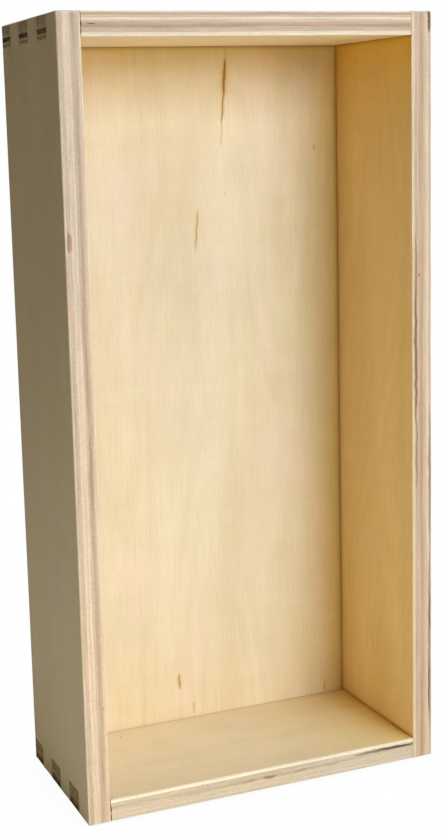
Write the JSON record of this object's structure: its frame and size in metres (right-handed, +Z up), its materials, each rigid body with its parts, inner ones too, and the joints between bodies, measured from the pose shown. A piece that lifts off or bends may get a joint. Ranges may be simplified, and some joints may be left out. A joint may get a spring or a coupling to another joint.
{
  "type": "open-faced apple box",
  "caption": "Shallow open-faced plywood apple box with finger-jointed corners and a back panel let into a rebate, shown standing on a short end.",
  "frame": {"origin": "centre of the outer face of the bottom end board, which the box stands on", "axes": "+Z up along the side boards, +X to the right seen from the open face, +Y from the open rim to the back panel"},
  "size_m": [0.254, 0.117, 0.508],
  "materials": {
    "side_plywood": "sanded light-faced plywood with its plies bare on the edges, grain along the board, thin clear sealer",
    "end_plywood": "sanded light-faced plywood with its plies bare on the edges, grain along the board, thin clear sealer",
    "panel_plywood": "sanded pale plywood face with long grain and a few dark mineral streaks, thin clear sealer"
  },
  "bodies": {
    "root": {"left_side": "side_plywood", "right_side": "side_plywood", "top_end": "end_plywood", "bottom_end": "end_plywood", "back_panel": "panel_plywood"}
  },
  "joints": []
}
